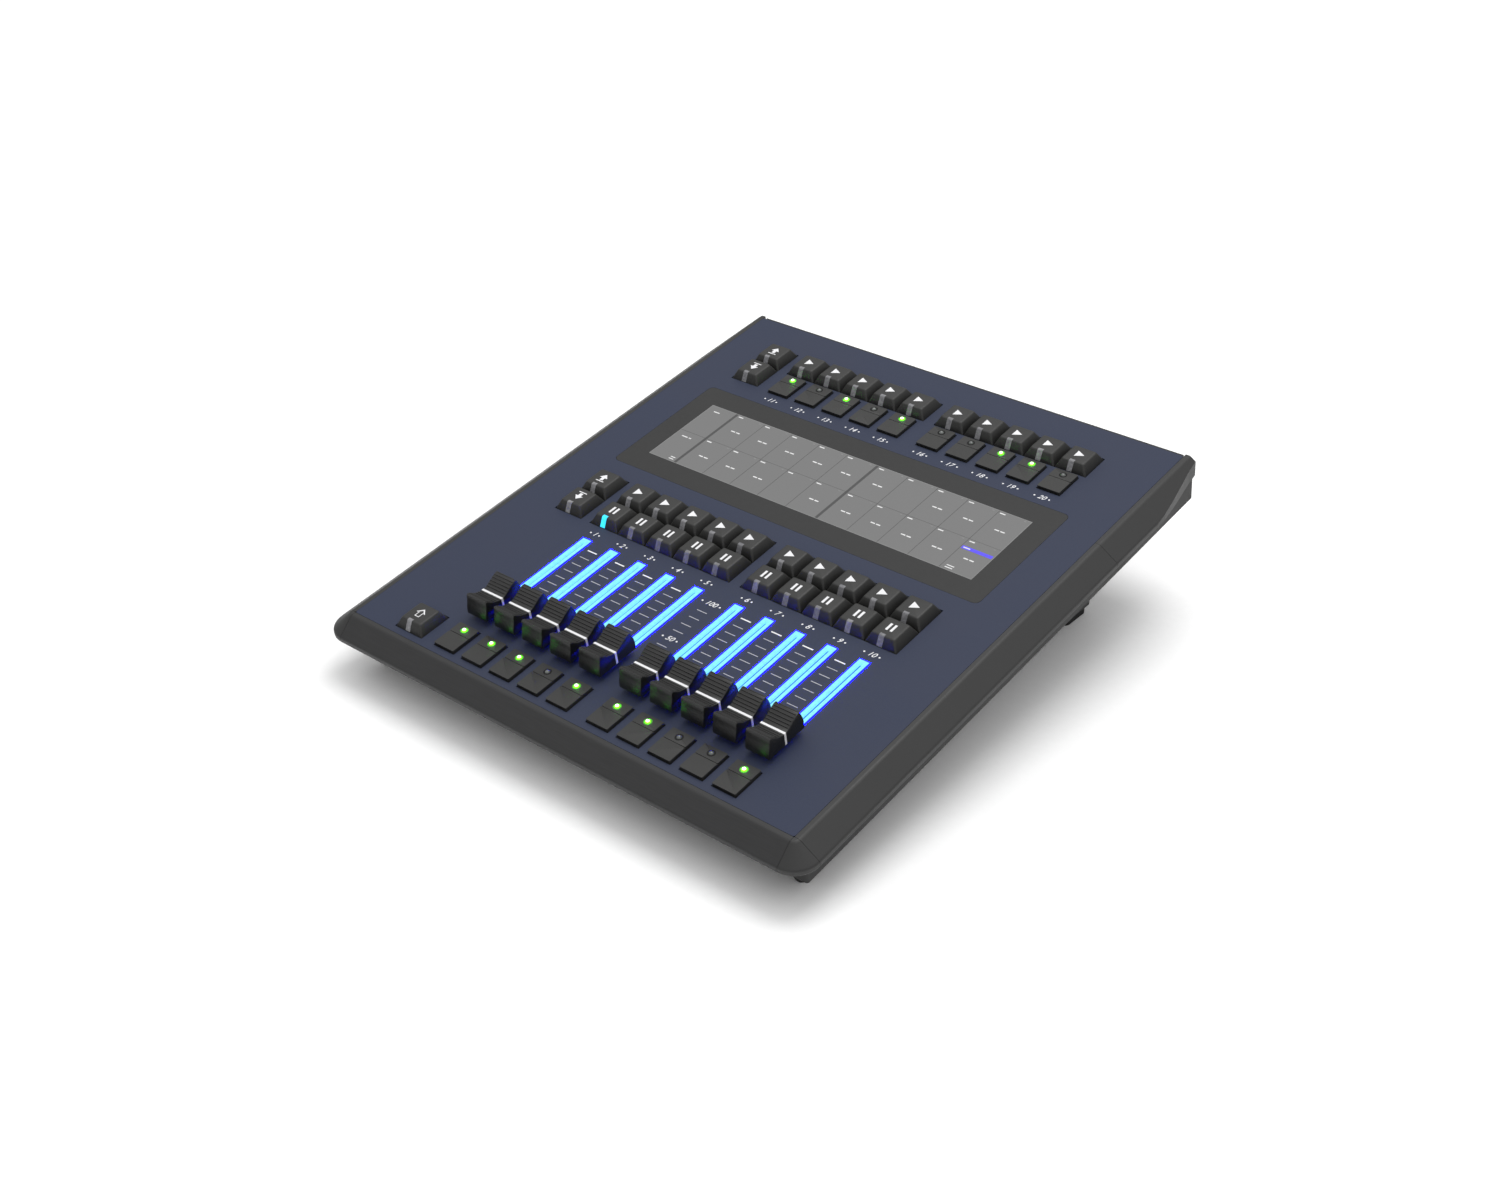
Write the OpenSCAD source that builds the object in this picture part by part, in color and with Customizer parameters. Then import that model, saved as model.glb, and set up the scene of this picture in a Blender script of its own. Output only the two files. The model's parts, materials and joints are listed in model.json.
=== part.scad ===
// Lighting control desk: a sloping slab with ten faders, backlit executor keys and a strip display.
// Desk frame: origin on the floor under the middle of the desk, +X right, +Y to the back, +Z up.
// Panel frame, used inside on_panel(): origin at the panel's front left corner, +Z out of the panel.

/* [Panel] */
// Width of the blue top panel
panel_w = 281.7; // [280:0.1:290]
// Depth of the blue top panel, along its slope
panel_d = 327.6; // [326:0.1:335]
// Thickness of the top panel
panel_t = 2; // [1.5:0.1:2.2]
// Slope of the panel, rear edge up, in degrees
tilt = 8.7; // [6:0.1:10]
// Height of the panel's front edge over the floor
front_height = 35; // [34:0.5:38]

/* [Body] */
// Depth of the body below the panel surface
body_depth = 24.8; // [24.5:0.1:27]
// Wall thickness of the base tray
wall = 2; // [1.5:0.1:2.5]
// How far the edge trims reach out past the panel
trim_reach = 13; // [12.5:0.1:14]
// Where the side trims split into a front and a rear piece, from the panel's front edge
trim_seam = 240.7; // [220:0.1:250]

/* [Controls] */
// Spacing of the keys and faders, the usual key switch spacing
pitch = 19.05; // [19:0.01:19.2]
// Distance of the first fader column from the panel's left edge
first_col = 60.6; // [58:0.1:62]
// Extra gap between the fifth and sixth columns
bank_gap = 7; // [5:0.1:8]
// Distance of the page and shift keys' column from the panel's left edge
page_col = 35.3; // [30:0.1:36]
// Width of a key cap at the panel
key_base = 18.6; // [17:0.1:18.6]
// Width of a key cap's top face
key_top = 13.1; // [12:0.1:14]
// Height of a key cap over the panel
key_height = 5.1; // [4:0.1:6]
// How far a key travels
key_travel = 2.2; // [1.5:0.1:2.4]
// How far a small button travels
button_travel = 1; // [0.5:0.1:1]
// How far a fader travels
fader_travel = 60; // [55:0.5:60]

/* [Display] */
// Width of the display glass
glass_w = 237.8; // [230:0.1:238]
// Depth of the display glass
glass_d = 83.4; // [80:0.1:84]
// Width of the lit area
screen_w = 210.8; // [200:0.1:219]
// Depth of the lit area
screen_d = 54; // [50:0.1:55]

/* [Hidden] */
$fn = 48;

gap = 0.15;                       // air between pieces that are screwed together
fit = 0.4;                        // air around a moving piece
below_panel = -panel_t - 0.3;     // highest point of what sits under the panel
tray_floor = -body_depth;
side_reach = 5.6;                 // tray wall past the panel's sides
front_reach = 2.6;                // tray wall past the panel's front
rear_reach = 2.2;                 // tray wall past the panel's rear
tray_corner = 2.6;
board_top = -14.5;
board_t = 1.6;

// Rows, from the panel's front edge
row_flash = 13.4;
row_fader = 40.8;                 // fader caps at zero
row_pause = 128.75;
row_play = row_pause + pitch;
row_glass = 211.6;
row_select = 274.2;
row_exec = 295.1;
row_shift = 13.4;
row_exec_page = row_exec - pitch;
led_ahead = 5.3;                  // a button's LED, ahead of the button's middle

button_w = 13.5;
button_d = 18.1;
button_h = 1.7;
skirt = 1.8;                      // how far a cap reaches below the panel surface
stem_w = 5;
switch_w = 14;
switch_top = -6.5;
button_stem_end = -9.4;
led_r = 1.5;
led_hole_r = 2.1;
slot_w = 1.6;
bar_w = 6.4;
bar_t = 1.6;
slot_end = 2;                     // slot past the fader's travel
bar_end = 3;                      // light bar past the end of its slot
cap_w = 13.8;
cap_lift = 3;                     // underside of a fader cap over the panel
lever_w = 0.9;
lever_d = 4;

// Feet and legs
foot_r = 6.5;                     // a front foot at the tray
foot_tip_r = 3.2;                 // and at the floor
foot_in = 6;                      // a front foot, in from the panel's side edge
foot_y = 9.7;
leg_in = 30.7;
leg_y = 271.4;
leg_w = 14;
leg_d = 28;
leg_pad_d = 20;
leg_pad_h = 4.2;

function col_x(i) = first_col + i * pitch + (i > 4 ? bank_gap : 0);
function bank_x(b) = (col_x(5 * b) + col_x(5 * b + 4)) / 2;
COLS = [for (i = [0:9]) i];

// The trim outline, out and down from the panel's edge: a lip, a sloping face, a round lower edge
lip = 2.1;
lip_turn = 1.2;                   // the soft bend from the lip to the slope
edge_r = 1.6;
edge_out = trim_reach - edge_r;
edge_drop = -8.6;
band = 1.3;                       // upright band under the round edge
under_r = 1.2;
trim_foot = -11.3;
slope = 36.9;                     // of the sloping face, in degrees
shoulder = -4.1;                  // where the inner corner of a side trim is cut off
edge_top = edge_drop + edge_r * cos(slope);
function slope_z(x) = edge_top - (x - edge_out - edge_r * sin(slope)) * tan(slope);
function trim_outline(inner) = concat(
    [[gap, -panel_t], [gap, -0.05], [lip, -0.05], [lip + lip_turn / 2, -0.2],
     [lip + lip_turn, slope_z(lip + lip_turn)]],
    [for (a = [90 - slope:-13:0]) [edge_out + edge_r * cos(a), edge_drop + edge_r * sin(a)]],
    [for (a = [0:-20:-60])
        [trim_reach - under_r + under_r * cos(a), edge_drop - band + under_r * sin(a)]],
    [[trim_reach - 2.6, trim_foot], [inner + gap, trim_foot]],
    inner < 4 ? [[inner + gap, below_panel]] :
        [[inner + gap, shoulder], [inner + gap + shoulder - below_panel, below_panel]],
    [[gap, below_panel]]);

// Desk depth at the floor plan, for an origin under the middle of the desk
front_most = -edge_out * cos(tilt) - edge_drop * sin(tilt) - edge_r;
rear_most = (panel_d + rear_reach) * cos(tilt) + body_depth * sin(tilt);
floor_mid = (front_most + rear_most) / 2;

module on_panel() {
    translate([0, -floor_mid, front_height])
        rotate([tilt, 0, 0])
            translate([-panel_w / 2, 0, 0]) children();
}

// Mirrors a piece made for the right side over to the left
module left_of_panel() { translate([panel_w, 0, 0]) mirror([1, 0, 0]) children(); }

// A plate with round corners, centred, standing on z
module plate(w, d, h, r, z = 0) {
    translate([0, 0, z]) linear_extrude(h) union() {
        square([w - 2 * r, d], center = true);
        square([w, d - 2 * r], center = true);
        for (x = [-1, 1], y = [-1, 1])
            translate([x * (w / 2 - r), y * (d / 2 - r)]) circle(r);
    }
}

module box(w, d, z0, z1) { translate([-w / 2, -d / 2, z0]) cube([w, d, z1 - z0]); }

module at_cols(list, y) { for (i = list) translate([col_x(i), y, 0]) children(); }

module at_all_keys() {
    at_cols(COLS, row_pause) children();
    at_cols(COLS, row_play) children();
    at_cols(COLS, row_exec) children();
    for (y = [row_pause, row_play, row_exec_page, row_exec, row_shift])
        translate([page_col, y, 0]) children();
}

module at_all_buttons() {
    at_cols(COLS, row_flash) children();
    at_cols(COLS, row_select) children();
}

// Middle of a fader's slot
module at_all_faders() { at_cols(COLS, row_fader + fader_travel / 2) children(); }

// A rounded slot along Y
module slot_shape(w, d, z0, z1) {
    translate([0, 0, z0]) linear_extrude(z1 - z0) union() {
        square([w, d - w], center = true);
        for (y = [-1, 1]) translate([0, y * (d - w) / 2]) circle(w / 2);
    }
}

slot_d = fader_travel + lever_d + 2 * slot_end;
bar_d = slot_d + 2 * bar_end;

// ---- Casing -------------------------------------------------------------------------------

module top_panel() {
    color("#434a5e") on_panel() difference() {
        translate([panel_w / 2, panel_d / 2, 0]) plate(panel_w, panel_d, panel_t, 1.2, -panel_t);
        key_well(bank_x(0), row_pause + pitch / 2, 5, 2);
        key_well(bank_x(1), row_pause + pitch / 2, 5, 2);
        key_well(bank_x(0), row_exec, 5, 1);
        key_well(bank_x(1), row_exec, 5, 1);
        key_well(page_col, row_pause + pitch / 2, 1, 2);
        key_well(page_col, row_exec - pitch / 2, 1, 2);
        key_well(page_col, row_shift, 1, 1);
        at_all_buttons() box(button_w + 2 * fit, button_d + 2 * fit, -panel_t - 1, 1);
        at_all_faders() slot_shape(bar_w + 2 * gap, bar_d + 2 * gap, -panel_t - 1, 1);
        translate([panel_w / 2, row_glass, 0])
            plate(glass_w + 2 * gap, glass_d + 2 * gap, panel_t + 2, 3.4, -panel_t - 1);
    }
}

// The opening for a block of keys
module key_well(x, y, across, deep) {
    translate([x, y, 0])
        box((across - 1) * pitch + key_base + 2 * fit, (deep - 1) * pitch + key_base + 2 * fit,
            -panel_t - 1, 1);
}

module front_trim() {
    color("#474747") on_panel()
        rotate([90, 0, 90]) translate([0, 0, gap]) linear_extrude(panel_w - 2 * gap)
            mirror([1, 0]) polygon(trim_outline(front_reach));
}

module corner_caps() {
    color("#3f3f3f") on_panel() {
        corner_cap();
        left_of_panel() corner_cap();
    }
}

module corner_cap() {
    translate([panel_w, 0, 0]) rotate([0, 0, -90]) rotate_extrude(angle = 90)
        polygon(trim_outline(side_reach + 0.8));
}

module side_trim_right() { color("#3a3a3a") on_panel() side_trim(); }
module side_trim_left() { color("#3a3a3a") on_panel() left_of_panel() side_trim(); }

module side_trim() {
    translate([panel_w, trim_seam - gap, 0]) rotate([90, 0, 0])
        linear_extrude(trim_seam - 2 * gap) polygon(trim_outline(side_reach));
}

// The rear trims sweep in and up to the top rear corner, and uncover the tray's side wall
module rear_trim_right() { color("#3a3a3a") on_panel() rear_trim(); }
module rear_trim_left() { color("#3a3a3a") on_panel() left_of_panel() rear_trim(); }

sweep_start = 277;
rear_face = panel_d + rear_reach;
// Plan of the sweep: out from the panel's side, and back
SWEEP = [[trim_reach + 0.2, sweep_start], [12.4, 288], [10.8, 299], [8.6, 312], [7, 321],
         [side_reach + 0.3, rear_face + 1]];

module rear_trim() {
    difference() {
        translate([panel_w, rear_face, 0]) rotate([90, 0, 0])
            linear_extrude(rear_face - trim_seam) polygon(trim_outline(side_reach));
        translate([panel_w, 0, -20]) linear_extrude(30)
            polygon(concat(SWEEP, [[30, rear_face + 1], [30, sweep_start]]));
    }
}

module base_tray() {
    w = panel_w + 2 * side_reach;
    d = panel_d + front_reach + rear_reach;
    mid = (panel_d + rear_reach - front_reach) / 2;
    ledge = 3;                    // how far the tray's rim reaches in under the panel
    color("#2b2b2b") on_panel() difference() {
        intersection() {
            translate([panel_w / 2, mid, 0])
                plate(w, d, below_panel - tray_floor, tray_corner, tray_floor);
            translate([panel_w / 2, mid, 0]) rotate([90, 0, 90])
                translate([0, 0, -w / 2 - 1]) linear_extrude(w + 2) tray_side(d);
            translate([panel_w / 2, panel_d + 20, 0]) rotate([90, 0, 0])
                linear_extrude(panel_d + 40) tray_front(w / 2);
        }
        translate([panel_w / 2, mid, 0])
            plate(w - 2 * wall, d - 2 * wall, 100, tray_corner - wall, tray_floor + wall);
        tray_sockets();
        tray_vents();
        tray_screw_holes();
    }
    color("#2b2b2b") on_panel() {
        rim(0, panel_w, -front_reach + wall, ledge);
        rim(0, panel_w, panel_d - ledge, panel_d + rear_reach - wall);
        rim(-side_reach + wall, ledge, ledge, panel_d - ledge);
        rim(panel_w - ledge, panel_w + side_reach - wall, ledge, panel_d - ledge);
        translate([1, panel_d + gap, below_panel]) cube([panel_w - 2, rear_reach - gap, 1.4]);
    }
}

// Side outline of the tray, with its lower edges rounded
module tray_side(d) {
    r = 3;
    translate([-d / 2, tray_floor + r]) square([d, body_depth]);
    translate([-d / 2 + r, tray_floor]) square([d - 2 * r, body_depth]);
    for (y = [-1, 1]) translate([y * (d / 2 - r), tray_floor + r]) circle(r);
}

// Front outline of the tray, with its upper side edges cut off under the side trims
module tray_front(half) {
    top = 1;
    cut = top - shoulder + 0.1;
    polygon([[-half, tray_floor - 1], [half, tray_floor - 1], [half, shoulder - 0.1],
             [half - cut, top], [cut - half, top], [-half, shoulder - 0.1]]);
}

// A strip of the tray's rim, which the panel rests on
module rim(x0, x1, y0, y1) {
    translate([x0, y0, below_panel - 1.5]) cube([x1 - x0, y1 - y0, 1.5]);
}

// Rear wall sockets: network on the left, power beside it, seen from behind on the right
network_x = 60;
power_x = 92;
socket_z = -12.5;
network_w = 15.5;
network_h = 13;
power_r = 5.5;

module tray_sockets() {
    translate([network_x, rear_face, socket_z])
        cube([network_w + 0.2, 12, network_h + 0.2], center = true);
    translate([power_x, rear_face, socket_z]) rotate([90, 0, 0])
        cylinder(r = power_r + 0.1, h = 12, center = true);
}

module tray_vents() {
    for (i = [0:13]) translate([150 + i * 7, rear_face - wall - 1, -20]) cube([3, 6, 12]);
    for (i = [0:11], x = [70, 190]) translate([x, 110 + i * 7, tray_floor - 1]) cube([32, 3, 5]);
}

SCREW_POINTS = concat(
    [for (x = [18, panel_w / 2, panel_w - 18], y = [34, 168, panel_d - 22]) [x, y]],
    [for (x = [leg_in, panel_w - leg_in]) [x, leg_y - 28]]);

module tray_screw_holes() {
    for (p = SCREW_POINTS) translate([p[0], p[1], tray_floor - 1]) cylinder(r = 1.7, h = 5);
}

module screws() {
    color("#1f1f1f") on_panel() for (p = SCREW_POINTS) translate([p[0], p[1], tray_floor]) {
        difference() {
            translate([0, 0, -1.5]) cylinder(r = 2.8, h = 1.45);
            translate([0, 0, -2]) cylinder(r = 1.3, h = 1.4, $fn = 6);
        }
        translate([0, 0, -0.06]) cylinder(r = 1.5, h = 6);
    }
}

// ---- Stand --------------------------------------------------------------------------------

// Stands a shape upright on the floor below a point of the tray's underside
module under_tray(x, y) {
    plan_y = y * cos(tilt) + body_depth * sin(tilt) - floor_mid;
    translate([x - panel_w / 2, plan_y, 0]) children();
}

// Everything above the tray's underside
module above_underside() { on_panel() translate([-40, -60, tray_floor - 0.02]) cube([400, 460, 90]); }

module feet() {
    color("#161616") {
        difference() {
            for (x = [foot_in, panel_w - foot_in]) under_tray(x, foot_y) {
                cylinder(r1 = foot_tip_r - 0.7, r2 = foot_tip_r, h = 0.7);
                translate([0, 0, 0.7]) cylinder(r1 = foot_tip_r, r2 = foot_r, h = 7);
                translate([0, 0, 7.7]) cylinder(r = foot_r, h = 14);
            }
            above_underside();
        }
        for (x = [leg_in, panel_w - leg_in]) under_tray(x, leg_y)
            plate(leg_w - 1.6, leg_pad_d, leg_pad_h, 3);
    }
}

module rear_legs() {
    color("#262626") difference() {
        for (x = [leg_in, panel_w - leg_in]) under_tray(x, leg_y)
            plate(leg_w, leg_d, 80, 4, leg_pad_h);
        above_underside();
    }
}

// ---- Display ------------------------------------------------------------------------------

module screen_glass() {
    color("#3f3f3f") on_panel() translate([panel_w / 2, row_glass, 0])
        plate(glass_w, glass_d, panel_t, 3.3, -panel_t);
}

module display_module() {
    color("#808080") on_panel() translate([panel_w / 2, row_glass, 0]) {
        box(screen_w, screen_d, below_panel - 1.7, below_panel);
        box(screen_w + 12, screen_d + 14, below_panel - 6, below_panel - 1.7);
    }
}

// ---- Faders -------------------------------------------------------------------------------

track_w = 9;
track_h = 8.5;
track_top = below_panel - 0.2;

module fader_tracks() {
    color("#9a9a9a") on_panel() at_all_faders() difference() {
        box(track_w, slot_d + 10, track_top - track_h, track_top);
        box(2.6, slot_d, track_top - track_h + 1, track_top + 1);
    }
}

module light_bars() {
    color("#7fe9ff") on_panel() at_all_faders() difference() {
        slot_shape(bar_w, bar_d, -bar_t, -0.05);
        slot_shape(slot_w, slot_d, -bar_t - 1, 1);
    }
}

// Side outline of a fader cap: two raised ends and a dip under the finger
CAP_OUTLINE = [[-12.7, 0.6], [-12.2, 0], [12.4, 0], [12.9, 0.6], [12.8, 4], [12.3, 6.8],
               [11.3, 9.4], [10.7, 10.8], [10.2, 11.3], [9.2, 11.2], [6.9, 10.3], [3.8, 8.5],
               [2, 7.5], [0, 7], [-1.8, 7], [-6.1, 8.4], [-9.4, 10.8], [-10.1, 11.1],
               [-10.7, 10.9], [-11, 10.3], [-11.2, 8.6]];

module fader(i) {
    color("#3c3c3c") on_panel() translate([col_x(i), row_fader, 0]) {
        translate([-cap_w / 2, 0, cap_lift]) rotate([90, 0, 90]) linear_extrude(cap_w)
            polygon(CAP_OUTLINE);
        box(lever_w, lever_d, track_top - track_h + 2, cap_lift + 1);
    }
}

// ---- Keys and buttons ---------------------------------------------------------------------

// A key cap with sloping sides on a square stem
module key(x, y) {
    r = 0.8;
    translate([x, y, 0]) {
        hull() {
            key_ring(key_base, r, -0.02);
            key_ring(key_top, r, key_height - 0.02);
        }
        box(key_base, key_base, -skirt, 0);
        box(stem_w, stem_w, -11, -skirt);
    }
}

module key_ring(w, r, z) {
    translate([0, 0, z]) linear_extrude(0.02)
        for (x = [-1, 1], y = [-1, 1])
            translate([x * (w / 2 - r), y * (w / 2 - r)]) circle(r, $fn = 16);
}

module executor_key(i, y) { color("#454545") on_panel() key(col_x(i), y); }
module page_key(y) { color("#454545") on_panel() key(page_col, y); }
module executor_bank(b) {
    color("#454545") on_panel() for (i = [5 * b:5 * b + 4]) key(col_x(i), row_exec);
}

module buttons(y) {
    color("#3e3e3c") on_panel() at_cols(COLS, y) difference() {
        union() {
            box(button_w, button_d, -skirt - 0.3, button_h);
            translate([0, -3, 0]) box(3, 3, button_stem_end, -skirt);
        }
        translate([0, led_ahead, -skirt - 1]) cylinder(r = led_hole_r, h = 8);
    }
}

// ---- Electronics --------------------------------------------------------------------------

module control_board() {
    color("#1d4d33") on_panel() translate([14, 5, board_top - board_t])
        cube([panel_w - 28, panel_d - 22, board_t]);
}

module key_switches() {
    color("#222222") on_panel() at_all_keys() difference() {
        box(switch_w, switch_w, board_top, switch_top);
        box(stem_w + 2 * fit, stem_w + 2 * fit, board_top + 0.6, switch_top + 1);
    }
}

module button_switches() {
    color("#b9b9b9") on_panel() at_all_buttons() translate([0, -3, 0]) {
        box(6, 6, board_top, board_top + 3.2);
        translate([0, 0, board_top + 3.2]) cylinder(r = 1.7, h = 0.6);
    }
}

// A round-topped LED that rises from the board through its button
module status_leds() {
    color("#8fe06a") on_panel() at_all_buttons() translate([0, led_ahead, 0]) {
        translate([0, 0, board_top]) cylinder(r = 1, h = 8);
        translate([0, 0, board_top + 8]) cylinder(r = led_r, h = 0.2 - board_top - 8);
        translate([0, 0, 0.2]) sphere(led_r);
    }
}

module network_socket() {
    depth = 15;
    color("#c2c2c4") on_panel() difference() {
        translate([network_x, rear_face - depth / 2 + 0.4, socket_z])
            cube([network_w, depth, network_h], center = true);
        translate([network_x, rear_face - 5, socket_z]) cube([11.8, 13, 8.2], center = true);
    }
}

module power_socket() {
    color("#1a1a1a") on_panel() translate([power_x, rear_face + 0.4, socket_z])
        rotate([90, 0, 0]) {
            difference() {
                cylinder(r = power_r, h = 12);
                translate([0, 0, -1]) cylinder(r = 3.2, h = 10.5);
            }
            translate([0, 0, 1]) cylinder(r = 1, h = 9);
        }
}

// ---- Nodes --------------------------------------------------------------------------------

top_panel();
front_trim();
corner_caps();
side_trim_left();
side_trim_right();
rear_trim_left();
rear_trim_right();
base_tray();
screen_glass();
display_module();
fader_tracks();
light_bars();
control_board();
key_switches();
button_switches();
status_leds();
network_socket();
power_socket();
feet();
rear_legs();
screws();
for (i = COLS) {
    fader(i);
    executor_key(i, row_play);
    executor_key(i, row_pause);
}
page_key(row_exec);  // page_up_upper
page_key(row_exec_page);  // page_down_upper
page_key(row_play);  // page_up_lower
page_key(row_pause);  // page_down_lower
page_key(row_shift);  // shift_key
executor_bank(0);  // executor_keys_left
executor_bank(1);  // executor_keys_right
buttons(row_flash);  // flash_buttons
buttons(row_select);  // select_buttons
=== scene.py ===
# %% [markdown]
# # A lighting control desk
# The desk is a sloping slab: a powder-coated steel panel in a frame of moulded and extruded
# trims, with keys, faders and buttons that stand through it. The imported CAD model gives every
# size and place. This script adds the looks: the pieces whose small shapes matter are modelled
# with bmesh operators, and every piece gets a material named for what it is made of.

# %% Load the frame
import json
import math

import bmesh
import bpy
from mathutils import Matrix, Vector


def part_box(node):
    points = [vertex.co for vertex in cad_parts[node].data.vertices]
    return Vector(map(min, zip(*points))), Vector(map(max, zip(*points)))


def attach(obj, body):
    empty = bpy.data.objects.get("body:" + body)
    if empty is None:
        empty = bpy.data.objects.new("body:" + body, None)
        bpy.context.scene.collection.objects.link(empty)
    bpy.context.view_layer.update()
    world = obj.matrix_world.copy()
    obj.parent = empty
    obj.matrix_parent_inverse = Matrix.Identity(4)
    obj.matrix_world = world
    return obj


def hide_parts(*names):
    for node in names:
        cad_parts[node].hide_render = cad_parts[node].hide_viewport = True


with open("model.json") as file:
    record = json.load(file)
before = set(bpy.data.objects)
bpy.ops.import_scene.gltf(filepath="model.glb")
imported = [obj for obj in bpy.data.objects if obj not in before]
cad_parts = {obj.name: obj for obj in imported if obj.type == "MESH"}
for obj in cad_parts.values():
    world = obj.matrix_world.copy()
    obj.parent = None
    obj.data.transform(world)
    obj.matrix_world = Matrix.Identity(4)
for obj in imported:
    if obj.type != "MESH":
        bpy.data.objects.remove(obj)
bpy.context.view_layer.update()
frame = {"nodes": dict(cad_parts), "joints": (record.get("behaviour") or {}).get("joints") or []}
MM = 0.001
print("CAD nodes:", len(frame["nodes"]))

# %% [markdown]
# ## Working in the panel's own frame
# All controls sit square to a panel that slopes, so it is much easier to model them flat, in
# millimetres from the panel's front left corner, and to turn the finished mesh into place. The
# slope comes from the direction in which the faders slide, and the corner from the panel's box.

# %% The panel frame
PANEL_T = 2 * MM
slide = next(j for j in frame["joints"] if j["name"] == "fader_1_slide")
along = Vector(slide["axis"]).normalized()
across = Vector((1, 0, 0))
outward = across.cross(along)
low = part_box("top_panel")[0]
corner = Vector((low.x, low.y, low.z + PANEL_T * outward.z))
PANEL = Matrix((across, along, outward)).transposed().to_4x4()
PANEL.translation = corner
PANEL = PANEL @ Matrix.Scale(MM, 4)


def panel_box(node):
    """Lowest and highest corner of a CAD node in the panel frame, in millimetres."""
    back = PANEL.inverted()
    points = [back @ v.co for v in frame["nodes"][node].data.vertices]
    return (Vector(map(min, *points)), Vector(map(max, *points)))


panel_w = panel_box("top_panel")[1].x
print("panel width in mm:", round(panel_w, 2))

# %% [markdown]
# ## Colours and nodes
# A colour is written as the sRGB hex value that a colour picker shows, and turned to the linear
# values that a shader works with. One small function adds a node with its inputs and settings.

# %% Colour and node helpers


def linear(hex_colour):
    """An sRGB hex colour as a linear RGBA tuple."""
    parts = [int(hex_colour[i:i + 2], 16) / 255 for i in (1, 3, 5)]
    return tuple(p / 12.92 if p <= 0.04045 else ((p + 0.055) / 1.055) ** 2.4 for p in parts) + (1,)


def add(tree, kind, inputs=None, **settings):
    """Adds a node: sockets given as inputs are linked, and other inputs are set."""
    made = tree.nodes.new(kind)
    for key, value in settings.items():
        setattr(made, key, value)
    for key, value in (inputs or {}).items():
        if isinstance(value, bpy.types.NodeSocket):
            tree.links.new(value, made.inputs[key])
        else:
            made.inputs[key].default_value = value
    return made


# %% [markdown]
# ## A finish with grain
# Every finish on this desk is a body colour with a fine grain: the orange peel of powder coat,
# the spark-eroded texture of a moulding, or the drawn lines of an extrusion. One function builds
# them from the real grain size. A slow noise also moves the colour and the roughness a little,
# as handling and uneven coating do, and a fine one drives the bump.

# %% The finish function
DRIFT_MM = 45
DRIFT_ROUGH = 0.05
RELIEF_MM = 0.1


def grained(name, colour, shade, rough, grain_mm, relief, metallic=0.0, stretch=(1, 1, 1),
            coat=0.0, ior=1.5):
    """A finish whose colour drifts from shade to colour, with a bump of grain_mm."""
    mat = bpy.data.materials.new(name)
    mat.use_nodes = True
    tree = mat.node_tree
    tree.nodes.clear()
    place = add(tree, "ShaderNodeTexCoord").outputs["Object"]
    turned = add(tree, "ShaderNodeMapping", {"Vector": place, "Scale": stretch}).outputs["Vector"]
    grain = add(tree, "ShaderNodeTexNoise",
                {"Vector": turned, "Scale": 1 / (grain_mm * MM), "Detail": 3.0})
    drift = add(tree, "ShaderNodeTexNoise",
                {"Vector": turned, "Scale": 1 / (DRIFT_MM * MM), "Detail": 4.0})
    blend = add(tree, "ShaderNodeMath",
                {0: grain.outputs["Fac"], 1: drift.outputs["Fac"]}, operation="MULTIPLY")
    ramp = add(tree, "ShaderNodeValToRGB", {"Fac": blend.outputs["Value"]})
    ramp.color_ramp.elements[0].position = 0.1
    ramp.color_ramp.elements[0].color = linear(shade)
    ramp.color_ramp.elements[1].position = 0.42
    ramp.color_ramp.elements[1].color = linear(colour)
    gloss = add(tree, "ShaderNodeMapRange",
                {"Value": drift.outputs["Fac"], "From Min": 0.3, "From Max": 0.7,
                 "To Min": rough - DRIFT_ROUGH, "To Max": rough + DRIFT_ROUGH})
    bump = add(tree, "ShaderNodeBump",
               {"Height": grain.outputs["Fac"], "Strength": relief, "Distance": RELIEF_MM * MM})
    shader = add(tree, "ShaderNodeBsdfPrincipled",
                 {"Base Color": ramp.outputs["Color"], "Roughness": gloss.outputs["Result"],
                  "Normal": bump.outputs["Normal"], "Metallic": metallic, "Coat Weight": coat})
    if not metallic:
        shader.inputs["IOR"].default_value = ior
    add(tree, "ShaderNodeOutputMaterial", {"Surface": shader.outputs["BSDF"]})
    return mat


# Powder coat on steel: satin, with a fine orange peel that breaks up reflections
powder_blue = grained("powder_coat_slate_blue", "#2e3549", "#2a3044", 0.62, 0.6, 0.25, ior=1.36)
powder_black = grained("powder_coat_black", "#161616", "#111111", 0.55, 0.6, 0.3)
# Anodised aluminium extrusion: the drawn lines run along X and stretch its highlight
anodised = grained("anodised_aluminium_black", "#303031", "#292929", 0.42, 0.35, 0.12,
                   metallic=0.35, stretch=(0.03, 1, 1))
# ABS and nylon moulded in an eroded tool: an even matt grain, finer and glossier on the parts
# that fingers touch
abs_trim = grained("moulded_abs_graphite", "#242424", "#1f1f1f", 0.5, 0.4, 0.25)
abs_key = grained("moulded_abs_charcoal", "#242423", "#1c1c1b", 0.5, 0.35, 0.5)
abs_button = grained("moulded_abs_button_grey", "#262625", "#1f1f1e", 0.5, 0.35, 0.5)
abs_cap = grained("moulded_abs_fader_black", "#171717", "#101010", 0.36, 0.35, 0.5)
abs_black = grained("moulded_nylon_black", "#121212", "#0c0c0c", 0.5, 0.4, 0.3)
abs_leg = grained("moulded_abs_leg_black", "#1c1c1c", "#151515", 0.5, 0.4, 0.3)
# Painted shade: near-black for the inside of a round hole, which hardly any light reaches
well_painted_shade = grained("led_well_shadow", "#060606", "#040404", 0.9, 0.4, 0.0)
# Natural rubber foot: no gloss at all, slightly dusty
rubber = grained("rubber_black", "#141414", "#0d0d0d", 0.85, 0.8, 0.4)
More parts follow.
